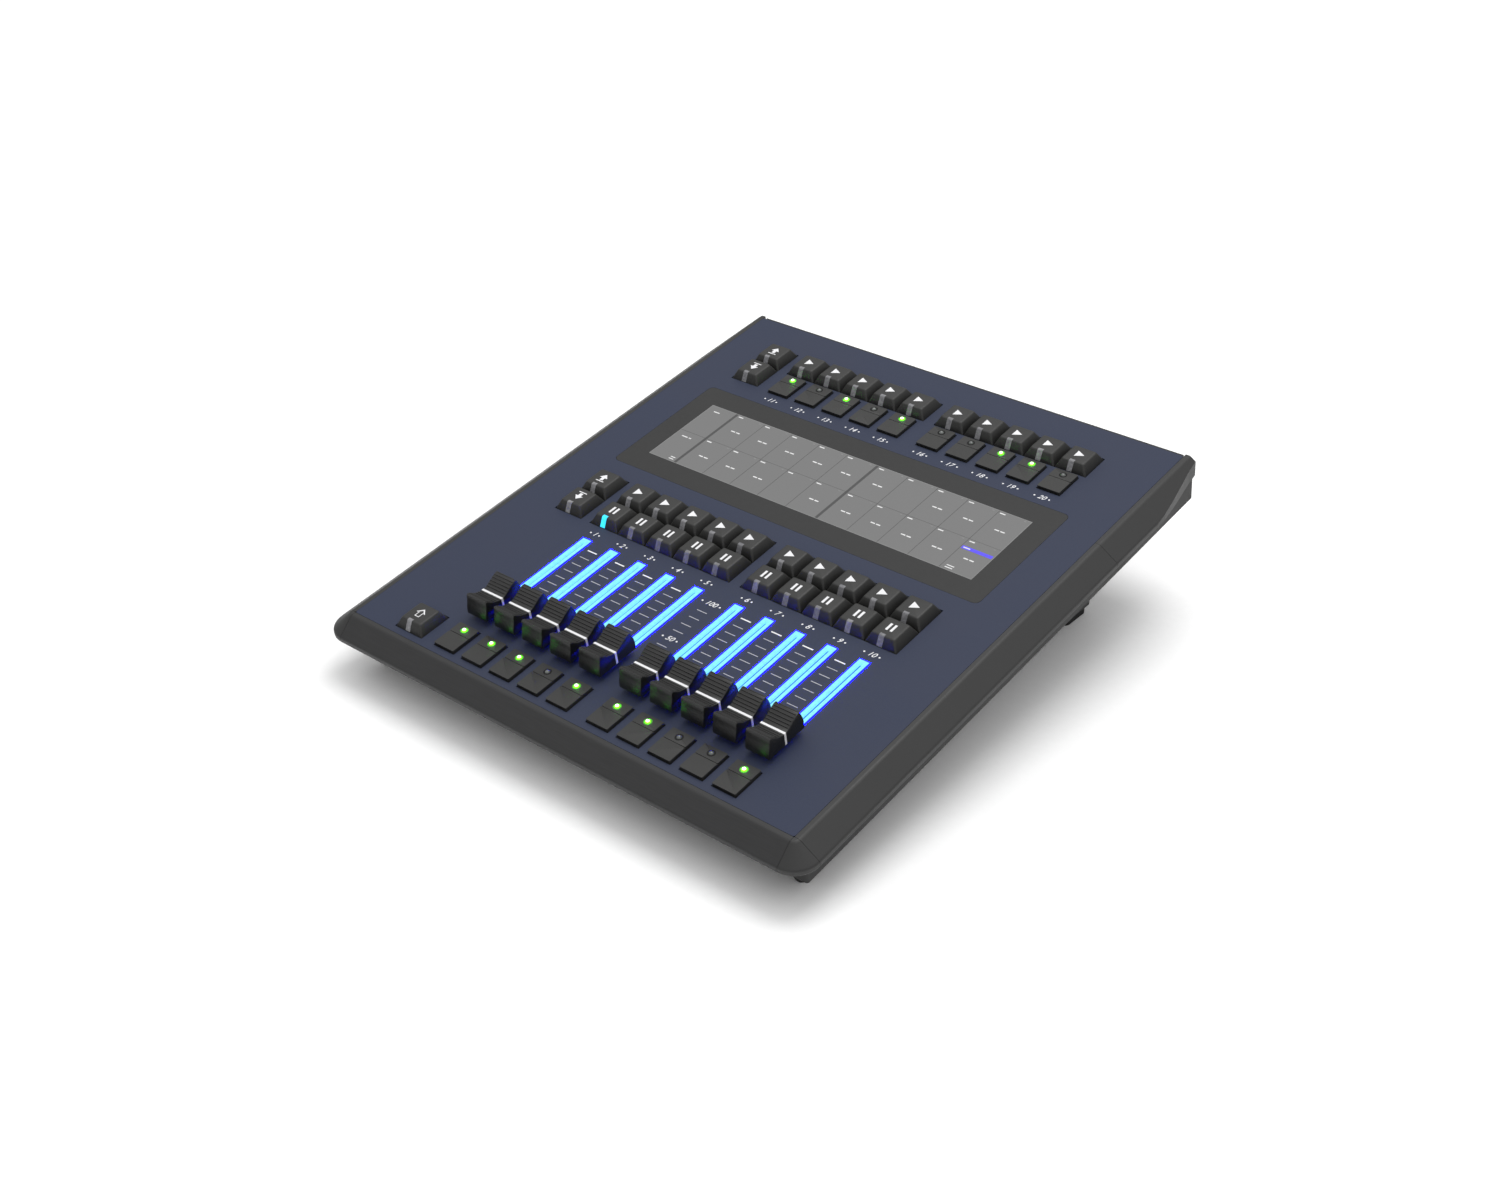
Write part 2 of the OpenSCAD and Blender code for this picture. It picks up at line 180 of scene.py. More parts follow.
# Plated and tinned steel: soft broken reflections
steel = grained("zinc_plated_steel", "#a9a9a6", "#8d8d8a", 0.32, 1.2, 0.1, metallic=1.0)
tinned = grained("tinned_steel_shell", "#c2c2c4", "#a8a8aa", 0.25, 1.5, 0.1, metallic=1.0)
oxide = grained("black_oxide_screw", "#26262a", "#18181a", 0.35, 0.5, 0.2, metallic=1.0)
# Circuit board under solder mask: glossy green with darker copper areas beneath
mask_green = grained("solder_mask_green", "#1d5a38", "#12402a", 0.25, 2.5, 0.15, coat=0.4)
# Screen printing ink: flat white that sits a hair proud of the coat
ink = grained("screen_ink_white", "#e8e8ea", "#dcdcde", 0.6, 0.5, 0.1)
ink_grey = grained("screen_ink_pale_grey", "#b4b5bd", "#a6a7af", 0.6, 0.5, 0.1)
# Smoked acrylic window: a clear gloss over a dark grey
acrylic = grained("smoked_acrylic", "#262626", "#222222", 0.5, 3.0, 0.03, ior=1.4)
# Clear polycarbonate light pipe, unlit: milky grey
pipe = grained("polycarbonate_light_pipe", "#8d8d90", "#5e5e62", 0.22, 1.4, 0.5, ior=1.58)
print("finishes:", len(bpy.data.materials))

# %% [markdown]
# ## Finishes that shine
# Light guides, lenses and the display give off light. Each is a principled shader with its
# emission set, over a base colour, and a slow noise keeps the light from looking painted on.
# The same shader also gives painted glows on parts that are no lamp: the green of a lit LED's
# well and the blue of the slot floor between the guides.

# %% The lit finish function


def lit(name, colour, strength, dim="#000000", speck_mm=1.5, low_share=0.82):
    """A finish that glows in colour, a little uneven from place to place."""
    mat = bpy.data.materials.new(name)
    mat.use_nodes = True
    tree = mat.node_tree
    tree.nodes.clear()
    place = add(tree, "ShaderNodeTexCoord").outputs["Object"]
    noise = add(tree, "ShaderNodeTexNoise", {"Vector": place, "Scale": 1 / (speck_mm * MM)})
    ramp = add(tree, "ShaderNodeValToRGB", {"Fac": noise.outputs["Fac"]})
    full = linear(colour)
    ramp.color_ramp.elements[0].position = 0.25
    ramp.color_ramp.elements[0].color = tuple(low_share * c for c in full[:3]) + (1,)
    ramp.color_ramp.elements[1].position = 0.6
    ramp.color_ramp.elements[1].color = full
    shader = add(tree, "ShaderNodeBsdfPrincipled",
                 {"Base Color": linear(dim), "Roughness": 0.4,
                  "Emission Color": ramp.outputs["Color"], "Emission Strength": strength})
    add(tree, "ShaderNodeOutputMaterial", {"Surface": shader.outputs["BSDF"]})
    return mat


guide_core = lit("light_guide_cyan", "#84ecff", 1.15)
guide_edge = lit("light_guide_blue_edge", "#0000ff", 44.0)
# Painted glow: the slot floor between the guides glows blue for the guides' light that falls into
# it
slot_painted_glow = lit("slot_floor_painted_glow", "#0c6cff", 0.9)
lens_green = lit("led_lens_green", "#40ff0a", 14.0)
# Painted glow: the well round a lit LED glows green for the LED light that falls on it
well_painted_glow = lit("led_well_painted_glow_green", "#4fb81a", 1.0)
lens_core = lit("led_chip_white", "#f4ffe8", 4.0)
pipe_lit = lit("light_pipe_lit_cyan", "#30d0ff", 1.6)
page_grey = lit("display_page_grey", "#767676", 0.85, dim="#202020", speck_mm=0.6, low_share=0.96)
page_line = lit("display_line_dark", "#3c3c3c", 0.85, dim="#202020")
page_frame = lit("display_line_pale", "#8d8d8d", 0.9, dim="#202020")
page_white = lit("display_mark_white", "#f0f0f0", 1.0)
page_blue = lit("display_bar_blue", "#5a4cff", 1.0)
# Unlit LED: a dull grey epoxy dome
lens_grey = grained("led_lens_unlit", "#6a6e6c", "#4a4e4c", 0.25, 1.5, 0.1, coat=0.5)
print("lit finishes made")

# %% [markdown]
# ## From a bmesh to a piece of the desk
# A piece is modelled flat in panel millimetres. This function closes it, turns its faces
# outwards, sets it in the desk and makes it ride on its body. The object itself stays at the
# origin, so that patterns on object coordinates stay put.

# %% Piece helpers
SHARP = 38


def piece(bm, name, body, materials, replaces=(), where=PANEL):
    """Makes the bmesh an object of the desk."""
    bmesh.ops.remove_doubles(bm, verts=bm.verts, dist=0.001)
    bmesh.ops.recalc_face_normals(bm, faces=bm.faces)
    bm.transform(where)
    mesh = bpy.data.meshes.new(name)
    bm.to_mesh(mesh)
    bm.free()
    for mat in materials:
        mesh.materials.append(mat)
    mesh.shade_smooth()
    mesh.set_sharp_from_angle(angle=math.radians(SHARP))
    obj = bpy.data.objects.new(name, mesh)
    bpy.context.scene.collection.objects.link(obj)
    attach(obj, body)
    if replaces:
        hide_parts(*replaces)
    return obj


def block(bm, x, y, z, w, d, h, round_up=0.0, round_top=0.0, material=0, segments=3):
    """A block centred at x, y and standing on z, with its upright and top edges rounded."""
    made = bmesh.ops.create_cube(bm, size=1)["verts"]
    bmesh.ops.scale(bm, vec=(w, d, h), verts=made)
    bmesh.ops.translate(bm, vec=(x, y, z + h / 2), verts=made)
    faces = list({f for v in made for f in v.link_faces})
    for f in faces:
        f.material_index = material
    return round_edges(bm, faces, z, h, round_up, round_top, segments)


def round_edges(bm, faces, z, h, round_up, round_top, segments):
    """Bevels a block's upright edges, then the edges round its top. Returns its top face."""
    if round_up:
        edges = {e for f in faces for e in f.edges
                 if abs(e.verts[0].co.z - e.verts[1].co.z) > h / 2}
        new = bmesh.ops.bevel(bm, geom=list(edges), offset=round_up, segments=segments,
                              affect="EDGES", profile=0.5, material=-1)["faces"]
        faces = [f for f in set(faces) | set(new) if f.is_valid]
    top = max(faces, key=lambda f: (round(f.calc_center_median().z, 4), f.calc_area()))
    if round_top:
        bmesh.ops.bevel(bm, geom=list(top.edges), offset=round_top, segments=segments,
                        affect="EDGES", profile=0.5, material=-1)
    return top if top.is_valid else None


def prism(bm, outline, run, material=0):
    """A face through the outline's points, extruded by the vector run."""
    face = bm.faces.new([bm.verts.new(p) for p in outline])
    face.material_index = material
    bm.normal_update()
    made = bmesh.ops.extrude_face_region(bm, geom=[face])["geom"]
    bmesh.ops.translate(bm, vec=run, verts=[g for g in made if isinstance(g, bmesh.types.BMVert)])
    side = {f for v in face.verts for f in v.link_faces}
    for f in side:
        f.material_index = material
    return face


def thicken(bm, faces, height):
    """Turns loose flat faces into a plate of the given height."""
    bm.normal_update()
    made = bmesh.ops.extrude_face_region(bm, geom=faces)["geom"]
    bmesh.ops.translate(bm, vec=(0, 0, height),
                        verts=[g for g in made if isinstance(g, bmesh.types.BMVert)])


# %% [markdown]
# ## Key caps
# Each executor key is a moulded cap with sloping sides, a soft round edge and a clear light pipe
# that rises up its front face and folds over onto the top. The symbol is printed on the cap. A
# cube whose top is drawn in gives the slopes, and bevels give the mould's radii.

# %% Key cap
KEY_SKIRT = 1.8
KEY_TOP = 13.1
KEY_CORNER_R = 1.1
KEY_EDGE_R = 0.7
PIPE_W = 3.1
PIPE_ASIDE = 0.6
SYMBOL_BACK = 0.4


def key_cap(bm, x, y, base, height, symbol, pipe_index):
    """One cap in the panel frame, with its light pipe and symbol."""
    made = bmesh.ops.create_cube(bm, size=1)["verts"]
    bmesh.ops.scale(bm, vec=(base, base, height), verts=made)
    upper = [v for v in made if v.co.z > 0]
    bmesh.ops.scale(bm, vec=(KEY_TOP / base, KEY_TOP / base, 1), verts=upper)
    bmesh.ops.translate(bm, vec=(x, y, height / 2), verts=made)
    under = [f for f in {f for v in made for f in v.link_faces} if f.calc_center_median().z < 0.01]
    skirt = bmesh.ops.extrude_face_region(bm, geom=under)["geom"]
    bmesh.ops.translate(bm, vec=(0, 0, -KEY_SKIRT),
                        verts=[g for g in skirt if isinstance(g, bmesh.types.BMVert)])
    bmesh.ops.delete(bm, geom=[f for f in under if f.is_valid], context="FACES_ONLY")
    slanted = {e for v in upper for e in v.link_edges}
    upright = [e for e in slanted if abs(e.verts[0].co.z - e.verts[1].co.z) > 1]
    bmesh.ops.bevel(bm, geom=upright, offset=KEY_CORNER_R, segments=4, affect="EDGES", profile=0.5,
                    material=-1)
    top = max(bm.faces, key=lambda f: (f.calc_center_median() - Vector((x, y, 0))).z
              - 10 * (f.calc_center_median().xy - Vector((x, y))).length)
    bmesh.ops.bevel(bm, geom=list(top.edges), offset=KEY_EDGE_R, segments=3, affect="EDGES",
                    profile=0.5, material=-1)
    light_pipe(bm, x - PIPE_ASIDE, y, base, height, pipe_index)
    symbol(bm, x, y + SYMBOL_BACK, height + 0.01)


def light_pipe(bm, x, y, base, height, index):
    """The clear strip up a key's front face and over its top edge."""
    front, lean = y - base / 2, (base - KEY_TOP) / 2 / height
    low_z, thick, over = 0.15, 0.16, 1.5    # lowest point, height over the face, reach on top
    edge_y = front + lean * height
    outline = [(x, front + lean * low_z - thick, low_z), (x, edge_y - 0.35, height - 0.55),
               (x, edge_y - 0.02, height - 0.1), (x, edge_y + 0.35, height + 0.05),
               (x, edge_y + over, height + 0.06), (x, edge_y + over, height - 1),
               (x, front + lean * low_z + 0.8, low_z)]
    prism(bm, [(px - PIPE_W / 2, py, pz) for px, py, pz in outline], (PIPE_W, 0, 0), index)


# %% [markdown]
# The symbols are plain shapes a hair above the cap: a triangle for play, two bars for pause,
# single arrows for the page keys and an open arrow for shift.

# %% Key symbols
INK_H = 0.06


def flat_shape(bm, points, z, material=1):
    """A printed shape through the points, INK_H thick."""
    prism(bm, [(px, py, z) for px, py in points], (0, 0, INK_H), material)


def play_symbol(bm, x, y, z):
    flat_shape(bm, [(x - 2, y - 2.6), (x + 2.8, y), (x - 2, y + 2.6)], z)


def pause_symbol(bm, x, y, z):
    for side in (-1.35, 1.35):
        flat_shape(bm, [(x + side - 0.65, y - 2.6), (x + side + 0.65, y - 2.6),
                        (x + side + 0.65, y + 2.6), (x + side - 0.65, y + 2.6)], z)


def arrow_symbol(up):
    """An arrow with a stem, pointing up or down the panel, over a short base line."""
    def draw(bm, x, y, z):
        flat_shape(bm, [(x - 2.6, y), (x, y + up * 3), (x + 2.6, y), (x + 1, y),
                        (x + 1, y - up * 2.2), (x - 1, y - up * 2.2), (x - 1, y)], z)
        flat_shape(bm, [(x - 2.6, y - up * 3.4), (x + 2.6, y - up * 3.4),
                        (x + 2.6, y - up * 2.8), (x - 2.6, y - up * 2.8)], z)
    return draw


def shift_symbol(bm, x, y, z):
    """An outlined arrow, made of a chevron and a framed stem."""
    flat_shape(bm, [(x - 3, y), (x, y + 3), (x + 3, y), (x + 2, y), (x, y + 2), (x - 2, y)], z)
    for side in (-1.5, 1.1):
        flat_shape(bm, [(x + side, y - 2.6), (x + side + 0.4, y - 2.6),
                        (x + side + 0.4, y + 0.4), (x + side, y + 0.4)], z)
    flat_shape(bm, [(x - 1.5, y - 3), (x + 1.5, y - 3), (x + 1.5, y - 2.6), (x - 1.5, y - 2.6)], z)


# %% All key caps
KEY_MATERIALS = [abs_key, ink, pipe]


def key_piece(node, symbol, count=1, materials=KEY_MATERIALS):
    """The caps of a key node, spaced evenly across its box, as one piece."""
    lo, hi = panel_box(node)
    base = hi.y - lo.y
    step = (hi.x - lo.x - base) / (count - 1) if count > 1 else 0
    bm = bmesh.new()
    for i in range(count):
        part = bmesh.new()
        key_cap(part, lo.x + base / 2 + i * step, (lo.y + hi.y) / 2, base, hi.z, symbol, 2)
        held = bpy.data.meshes.new("part")
        part.to_mesh(held)
        part.free()
        bm.from_mesh(held)
        bpy.data.meshes.remove(held)
    name = node + ("_caps" if count > 1 else "_cap")
    return piece(bm, name, node, materials, [node])


for i in range(1, 11):
    key_piece(f"play_key_{i}", play_symbol)
    lit_first = [abs_key, ink, pipe_lit] if i == 1 else KEY_MATERIALS
    key_piece(f"pause_key_{i}", pause_symbol, materials=lit_first)
for level in ("upper", "lower"):
    key_piece(f"page_up_{level}", arrow_symbol(1))
    key_piece(f"page_down_{level}", arrow_symbol(-1))
key_piece("shift_key", shift_symbol)
for side in ("left", "right"):
    key_piece(f"executor_keys_{side}", play_symbol, count=5)
print("key caps made")

# %% [markdown]
# ## Fader caps
# A fader cap is a saddle for the fingertip: high at both ends and low in the middle, with ribs
# across for grip and a white line at its centre that runs down both sides. The side outline is
# extruded across, its edges are bevelled, and ribs are laid along the saddle.

# %% Fader cap
# The side outline in stretches, as y and z over the cap's underside
SADDLE_FRONT = [(-11.2, 8.6), (-11.7, 6.4), (-12.3, 4.4), (-12.65, 2.4), (-12.7, 0.6)]
SADDLE_BASE_AND_REAR = [(-12.2, 0), (12.4, 0), (12.9, 0.6), (12.8, 4), (12.3, 6.8),
                        (11.3, 9.4), (10.7, 10.8)]
SADDLE_TOP = [(10.2, 11.3), (9.2, 11.2), (6.9, 10.3), (3.8, 8.5), (2, 7.5), (0, 7),
              (-1.8, 7), (-6.1, 8.4), (-9.4, 10.8), (-10.1, 11.1)]
SADDLE_NOSE = [(-10.7, 10.9), (-11, 10.3)]
SADDLE = (SADDLE_FRONT[2:] + SADDLE_BASE_AND_REAR + SADDLE_TOP + SADDLE_NOSE
          + SADDLE_FRONT[:2])
RIBS = [10.1, 8.4, 6.8, 5.2, 3.7, 2.3, -2.4, -3.9, -5.3, -6.7, -8.0, -9.2, -10.3]
RIB_W, RIB_H = 0.75, 0.32
LINE_W = 1.25
LINE_Y = -0.6
RIB_INSET = 0.5
LEVER_W, LEVER_D = 0.9, 4


def saddle_height(y):
    """Height of the saddle's upper side at y."""
    upper = sorted(SADDLE_TOP)
    for (ya, za), (yb, zb) in zip(upper, upper[1:]):
        if ya <= y <= yb:
            return za + (zb - za) * (y - ya) / (yb - ya)
    return upper[0][1]


def fader_cap(node):
    """A fader's cap with its ribs, line and lever."""
    lo, hi = panel_box(node)
    x, w = (lo.x + hi.x) / 2, hi.x - lo.x
    y = lo.y - min(p[0] for p in SADDLE)
    lift = hi.z - max(p[1] for p in SADDLE)
    bm = bmesh.new()
    prism(bm, [(x - w / 2, y + py, lift + pz) for py, pz in SADDLE], (w, 0, 0))
    bm.normal_update()
    ends = {e for f in bm.faces if abs(f.normal.x) > 0.9 for e in f.edges}
    bmesh.ops.bevel(bm, geom=list(ends), offset=0.45, segments=2, affect="EDGES", profile=0.5,
                    material=-1)
    for rib in RIBS:
        za, zb = saddle_height(rib - RIB_W / 2), saddle_height(rib + RIB_W / 2)
        mid = (za + zb) / 2
        outline = [(rib - RIB_W / 2, za - 0.2), (rib + RIB_W / 2, zb - 0.2),
                   (rib + RIB_W / 4, mid + RIB_H), (rib - RIB_W / 4, mid + RIB_H)]
        prism(bm, [(x - w / 2 + RIB_INSET, y + py, lift + pz) for py, pz in outline],
              (w - 2 * RIB_INSET, 0, 0))
    block(bm, x, y + LINE_Y, lift + 0.4, w + 0.08, LINE_W, saddle_height(LINE_Y) - 0.34,
          material=1)
    block(bm, x, y, lo.z, LEVER_W, LEVER_D, lift + 1 - lo.z, material=2)
    return piece(bm, node + "_cap", node, [abs_cap, ink, steel], [node])


for i in range(1, 11):
    fader_cap(f"fader_{i}")
print("fader caps made")

# %% [markdown]
# ## Small buttons and their LEDs
# Each flat button has a crease a third of the way down: behind it a round hole lets a green LED
# stand through, and the front is where the finger presses. The two fields are separate blocks on
# a common base, so that the crease is real. The hole is a near-black ring of painted shade set
# into the rear field; round a lit LED the ring glows green instead, a painted glow of the LED's
# light.

# %% Buttons
CREASE_W = 0.3
FIELD_BASE = 0.2
BUTTON_SKIRT = 2.1
WELL_R = 2.15
LED_FIELD = 7.4
LED_AHEAD = 5.3
LED_ON = {"flash_buttons": (1, 1, 1, 0, 1, 1, 1, 0, 0, 1),
          "select_buttons": (1, 0, 1, 0, 1, 0, 0, 1, 1, 0)}
cols = [(panel_box(f"fader_{i}")[0].x + panel_box(f"fader_{i}")[1].x) / 2 for i in range(1, 11)]


def button_row(node):
    """A row of ten button caps."""
    lo, hi = panel_box(node)
    w = hi.x - cols[9] + (cols[0] - lo.x)
    d, y, top = hi.y - lo.y, (lo.y + hi.y) / 2, hi.z
    bm = bmesh.new()
    split = hi.y - LED_FIELD
    for x, on in zip(cols, LED_ON[node]):
        block(bm, x, y, -BUTTON_SKIRT, w, d, top + BUTTON_SKIRT - 0.5, round_up=0.5)
        for a, b in ((split + CREASE_W / 2, hi.y), (lo.y, split - CREASE_W / 2)):
            block(bm, x, (a + b) / 2, FIELD_BASE, w - 0.1, b - a, top - FIELD_BASE, 0.5, 0.3)
        # The LED's well: a disc of painted shade, or of painted green glow where the LED is on
        ring(bm, x, y + LED_AHEAD, top + 0.05, 2 if on else 1)
        block(bm, x, y - 3, -9.4, 3, 3, 8, material=1)
    return piece(bm, node[:-1] + "_caps", node, [abs_button, well_painted_shade, well_painted_glow],
                 [node])


def ring(bm, x, y, z, index):
    """The well round an LED: near-black painted shade, or a green painted glow of the LED's light.
    """
    disc = bmesh.ops.create_circle(bm, cap_ends=True, radius=WELL_R, segments=24)["verts"]
    bmesh.ops.translate(bm, vec=(x, y, z), verts=disc)
    disc_faces = list({f for v in disc for f in v.link_faces})
    for f in disc_faces:
        f.material_index = index
    thicken(bm, disc_faces, -0.1)


for node in LED_ON:
    button_row(node)
print("buttons made")

# %% [markdown]
# ## LEDs
# An LED is a small epoxy dome that stays with the board while its button sinks round it, so the
# domes are pieces of the desk and not of the button. A lit one has a bright chip that shows
# through the top of its coloured dome. Two spheres give both, and their lower halves are hidden.

# %% LED lenses
LED_R = 1.45
LED_SINK = 0.55
CHIP_R = 0.95
CHIP_UP = 0.78


def lenses(name, wanted, materials, with_chip):
    """Domes for the LEDs whose state is wanted, each on its stem."""
    bm = bmesh.new()
    for node, states in LED_ON.items():
        lo, hi = panel_box(node)
        for x, state in zip(cols, states):
            if state != wanted:
                continue
            y, z = (lo.y + hi.y) / 2 + LED_AHEAD, hi.z - LED_SINK
            dome = bmesh.ops.create_uvsphere(bm, u_segments=20, v_segments=12, radius=LED_R)
            bmesh.ops.translate(bm, vec=(x, y, z), verts=dome["verts"])
            if with_chip:
                chip = bmesh.ops.create_uvsphere(bm, u_segments=16, v_segments=8, radius=CHIP_R)
                bmesh.ops.translate(bm, vec=(x, y, z + CHIP_UP), verts=chip["verts"])
                for f in {f for v in chip["verts"] for f in v.link_faces}:
                    f.material_index = 1
    return piece(bm, name, "desk", materials)


lit_lenses = lenses("led_lenses_lit", 1, [lens_green, lens_core], True)
lenses("led_lenses_unlit", 0, [lens_grey], False)
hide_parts("status_leds")
print("LED lenses made")

# %% [markdown]
# ## Light bars
# Down each fader's slot runs a pair of clear guides that glow along their length: cyan in the
# middle, and deep blue at the rim, where less light leaves. Each guide is a bright block with a
# thin blue one along its outer side and at its ends.

# %% Light bars
BAR_PROUD = 0.25
RIM_W = 0.45
SLOT_W = 1.6


def light_bar(bm, x, y, w, d, under):
    """Both guides of one fader, their blue rim and the slot floor between them, which glows blue
    as painted light from the guides.
    """
    arm = (w - SLOT_W) / 2
    for side in (-1, 1):
        block(bm, x + side * (SLOT_W + arm - RIM_W) / 2, y, under, arm - RIM_W, d - 2 * RIM_W,
              BAR_PROUD - under)
        block(bm, x + side * (w - RIM_W) / 2, y, under, RIM_W, d, BAR_PROUD - 0.02 - under,
              material=1)
    # The slot floor: a painted glow of the guides' light, not a guide itself
    block(bm, x, y, under, SLOT_W, d - 6, 0.5, material=2)
    for end in (-1, 1):
        block(bm, x, y + end * (d / 2 - 1.6), under, SLOT_W, 2.4, BAR_PROUD - 0.02 - under)
        block(bm, x, y + end * (d - RIM_W) / 2, under, w - 2 * RIM_W, RIM_W,
              BAR_PROUD - 0.02 - under, material=1)


bm = bmesh.new()
lo, hi = panel_box("light_bars")
for x in cols:
    light_bar(bm, x, (lo.y + hi.y) / 2, hi.x - cols[9] + (cols[0] - lo.x), hi.y - lo.y, lo.z)
piece(bm, "light_guides", "desk", [guide_core, guide_edge, slot_painted_glow],
      ["light_bars"])
print("light guides made")

# %% [markdown]
# ## Display window
# A smoked acrylic plate with round corners lies in the panel, and the lit page shows through its
# middle: two rows of cells that line up with the faders, with thin rules between them. Words are
# left as plain dashes. Each mark is a thin plate in a layer just above the one below it.

# %% Display
SCREEN_W, SCREEN_D = 210.8, 54
FIRST_CELL = 17.2
BANK_RULE = 1.7
lo, hi = panel_box("screen_glass")
glass_mid = (lo + hi) / 2
bm = bmesh.new()
block(bm, glass_mid.x, glass_mid.y, lo.z, hi.x - lo.x, hi.y - lo.y, hi.z - lo.z,
      round_up=3.3, round_top=0.35, segments=6)
piece(bm, "display_window", "desk", [acrylic], ["screen_glass"])

bm = bmesh.new()
left, front = glass_mid.x - SCREEN_W / 2, glass_mid.y - SCREEN_D / 2
rear, middle = front + SCREEN_D, glass_mid.y - 0.5


def mark(x, y, w, d, layer, material):
    """A plate of the page, from its front left corner."""
    block(bm, x + w / 2, y + d / 2, 0.012 * layer, w, d, 0.01, material=material)


mark(left - 0.35, front - 0.35, SCREEN_W + 0.7, SCREEN_D + 0.7, 0, 2)
mark(left, front, SCREEN_W, SCREEN_D, 1, 0)
cell = (SCREEN_W - FIRST_CELL - 2 * BANK_RULE) / 10
cell_x = [left + FIRST_CELL + BANK_RULE * (1 + (i > 4)) + i * cell for i in range(10)]
for x in (cell_x[0] - BANK_RULE, cell_x[5] - BANK_RULE):
    mark(x, front, BANK_RULE, SCREEN_D, 2, 1)
for i in (1, 2, 3, 4, 6, 7, 8, 9):
    mark(cell_x[i] - 0.15, front, 0.3, SCREEN_D, 2, 1)
mark(left, middle - 0.1, SCREEN_W, 0.2, 3, 1)
for i, x in enumerate(cell_x):
    for y in (rear, middle):
        mark(x + 1.2, y - 2, 3.2, 0.75, 4, 3)
        mark(x + cell - 3.6, y - 1.5, 1.2, 0.5, 4, 2)
        if (i * 2 + (y == rear)) % 7 != 6:
            mark(x + cell / 2 - 3, y - SCREEN_D / 4 - 1.5, 2.7, 0.8, 4, 3)
            mark(x + cell / 2 + 0.4, y - SCREEN_D / 4 - 1.5, 2.6, 0.8, 4, 3)
for y in (rear, middle):
    mark(left + 4.5, y - 5, 4, 0.75, 4, 3)
mark(left + 9.4, middle - 5, 1.6, 0.75, 4, 3)
mark(cell_x[9] + 0.5, middle - 8.4, cell - 1, 2.4, 4, 4)
mark(cell_x[9] + 1.4, middle - 7.6, 4, 0.8, 5, 3)
for y in (front + 1.3, front + 3):
    mark(cell_x[9] + 2.4, y, 4.4, 0.6, 5, 3)
    mark(cell_x[0] - 6.5, y, 3.2, 0.6, 5, 3)
piece(bm, "display_page", "desk", [page_grey, page_line, page_frame, page_white, page_blue])
print("display made")

# %% [markdown]
# ## Printing on the panel
# Numbers name the executors and the fader scale, and tick marks lie between the faders. They are
# screen printed in white ink. Blender's own text gives the digits, slanted, and the text is made
# a mesh while it is still flat, before it is put in its place.

# %% Panel print
DIGIT_H = 3.15
DOT_R = 0.52
LABEL_ROWS = {113.1: 1, 259.2: 11}
SCALE_LABELS = {101.4: "100", 70.3: "50"}
TICK_W, TICK_STEP, TICK_TOP, TICK_COUNT = 6.3, 6.0, 100.8, 11
PRINT_Z = 0.01
INK_COAT = 0.03
mid_col = (cols[4] + cols[5]) / 2


def text_mesh(body):
    """A flat mesh of slanted digits, centred on the origin, in millimetres."""
    curve = bpy.data.curves.new("digits", "FONT")
    curve.body = body
    curve.size = DIGIT_H / 0.7
    curve.shear = 0.3
    curve.offset = 0.02
    curve.align_x = "CENTER"
    curve.align_y = "CENTER"
    holder = bpy.data.objects.new("digits", curve)
    bpy.context.scene.collection.objects.link(holder)
    bpy.context.view_layer.update()
    flat = bpy.data.meshes.new_from_object(holder.evaluated_get(
        bpy.context.evaluated_depsgraph_get()))
    bpy.data.objects.remove(holder)
    bpy.data.curves.remove(curve)
    return flat


def label(bm, text, x, y):
    flat = text_mesh(text)
    flat.transform(Matrix.Translation((x, y, PRINT_Z)))
    before = set(bm.verts)
    bm.from_mesh(flat)
    bpy.data.meshes.remove(flat)
    placed = [v for v in bm.verts if v not in before]
    reach = max(abs(v.co.x - x) for v in placed) + 1.7
    for side in (-1, 1):
        dot = bmesh.ops.create_circle(bm, cap_ends=True, radius=DOT_R, segments=16)["verts"]
        bmesh.ops.translate(bm, vec=(x + side * reach, y, PRINT_Z), verts=dot)


def tick(bm, x, y, thick):
    quad = bmesh.ops.create_grid(bm, x_segments=1, y_segments=1, size=0.5)["verts"]
    bmesh.ops.scale(bm, vec=(TICK_W, thick, 1), verts=quad)
    bmesh.ops.translate(bm, vec=(x, y, PRINT_Z), verts=quad)


bold, fine = bmesh.new(), bmesh.new()
for y, first in LABEL_ROWS.items():
    for i, x in enumerate(cols):
        label(bold, str(first + i), x, y)
for y, text in SCALE_LABELS.items():
    label(bold, text, mid_col, y)
between = [(a + b) / 2 for a, b in zip(cols, cols[1:])]
for x in between:
    for k in range(TICK_COUNT):
        y = TICK_TOP - k * TICK_STEP
        if x == between[4]:
            if k not in (0, 5):
                tick(fine, x, y - 0.4, 0.42)
        elif k == 0:
            tick(bold, x, y, 0.75)
        else:
            tick(fine, x, y, 0.42)
for source, name, mat in ((bold, "panel_numbers", ink), (fine, "panel_scale_lines", ink_grey)):
    thicken(source, source.faces[:], INK_COAT)
    piece(source, name, "desk", [mat])
print("panel print made")

# %% [markdown]
# ## Sockets
# The rear wall holds a network socket and a power socket. The CAD has their shells. Inside the
# network socket eight gilt springs reach forward and down, and each is a short bent strip.

# %% Network contacts
gilt = grained("gilt_bronze_contact", "#d8b25c", "#b08a3c", 0.22, 0.8, 0.05, metallic=1.0)
CONTACT_PITCH = 1.02
lo, hi = panel_box("network_socket")
mid = (lo + hi) / 2
bm = bmesh.new()
for i in range(8):
    x = mid.x + (i - 3.5) * CONTACT_PITCH - 0.2
    prism(bm, [(x, hi.y - 2.2, mid.z + 3.9), (x, hi.y - 7.8, mid.z + 1.0),
               (x, hi.y - 8.1, mid.z + 1.3), (x, hi.y - 2.6, mid.z + 4.15)], (0.4, 0, 0))
piece(bm, "network_contacts", "desk", [gilt])
print("contacts made")

# %% [markdown]
# ## Finishes of the CAD pieces
# The casing, the trims, the stand and the electronics have their right shape in CAD already, so
# they keep their meshes and only get their material.

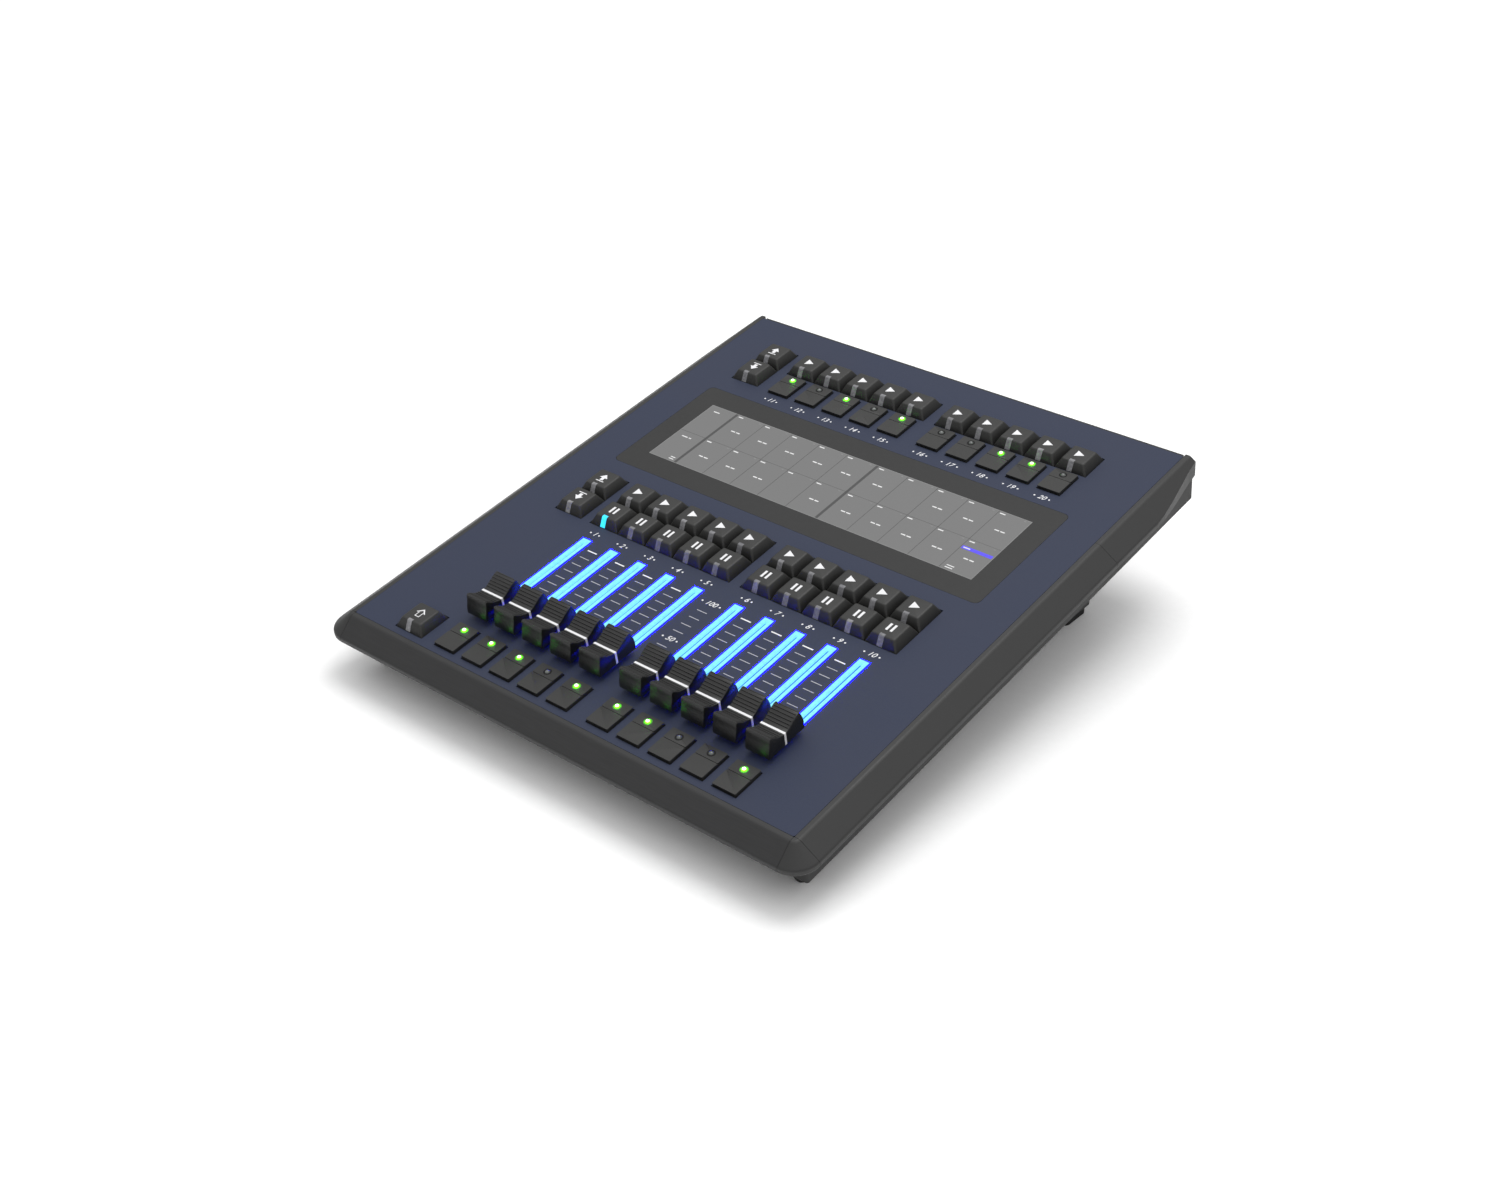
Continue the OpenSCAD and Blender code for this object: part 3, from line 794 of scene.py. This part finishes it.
# %% Materials on CAD nodes
FINISH = {"top_panel": powder_blue, "front_trim": anodised, "corner_caps": abs_trim,
          "side_trim_left": abs_trim, "side_trim_right": abs_trim, "rear_trim_left": abs_trim,
          "rear_trim_right": abs_trim, "base_tray": powder_black, "display_module": steel,
          "fader_tracks": steel, "control_board": mask_green, "key_switches": abs_black,
          "button_switches": steel, "network_socket": tinned, "power_socket": abs_black,
          "feet": rubber, "rear_legs": abs_leg, "screws": oxide}
for node, finish in FINISH.items():
    mesh = frame["nodes"][node].data
    mesh.materials.clear()
    mesh.materials.append(finish)
print("CAD nodes finished:", len(FINISH))

# %% [markdown]
# ## Floor, light and camera
# A plain white floor stands under a sky that is bright overhead and dim at the horizon, like a
# large soft box. One lamp above and behind draws the shadow forward.

# %% Stage
FLOOR_HALF = 6
SKY_HORIZON, SKY_ZENITH = 0.22, 1.3
bm = bmesh.new()
bmesh.ops.create_grid(bm, x_segments=1, y_segments=1, size=FLOOR_HALF)
mesh = bpy.data.meshes.new("floor")
bm.to_mesh(mesh)
bm.free()
mesh.materials.append(grained("floor_paper_white", "#ffffff", "#fcfcfc", 0.9, 4.0, 0.0))
floor = bpy.data.objects.new("floor", mesh)
bpy.context.scene.collection.objects.link(floor)

world = bpy.data.worlds.new("soft_white_room")
world.use_nodes = True
tree = world.node_tree
tree.nodes.clear()
upward = add(tree, "ShaderNodeTexCoord").outputs["Generated"]
height = add(tree, "ShaderNodeSeparateXYZ", {"Vector": upward}).outputs["Z"]
glow = add(tree, "ShaderNodeMapRange",
           {"Value": height, "To Min": SKY_HORIZON, "To Max": SKY_ZENITH})
sky = add(tree, "ShaderNodeBackground",
          {"Color": (1, 1, 1, 1), "Strength": glow.outputs["Result"]})
add(tree, "ShaderNodeOutputWorld", {"Surface": sky.outputs["Background"]})
bpy.context.scene.world = world


def soft_box(name, at, aim, size, watts):
    """A square area light that looks at a point."""
    light = bpy.data.lights.new(name, "AREA")
    light.size = size
    light.energy = watts
    obj = bpy.data.objects.new(name, light)
    obj.location = at
    obj.rotation_euler = (Vector(aim) - Vector(at)).to_track_quat("-Z", "Y").to_euler()
    bpy.context.scene.collection.objects.link(obj)


soft_box("key_light", (0.1, 0.5, 2.0), (0, 0, 0), 1.2, 16)
bpy.context.scene.view_settings.view_transform = "Standard"

# %% [markdown]
# ## Camera
# The desk is looked at from the front right and from well above, through a short telephoto lens.
# The camera's turn is given by the direction it looks in and the direction that is up for it.

# %% Camera
camera = bpy.data.cameras.new("camera")
camera.lens = 46.11
camera.sensor_width = 36
view = bpy.data.objects.new("camera", camera)
bpy.context.scene.collection.objects.link(view)
forward = Vector((-0.543386, 0.652108, -0.528665))
up = Vector((-0.334145, 0.409703, 0.848817))
turn = Matrix((forward.cross(up), up, -forward)).transposed()
view.matrix_world = Matrix.Translation((0.53437, -0.65965, 0.54945)) @ turn.to_4x4()
bpy.context.scene.camera = view
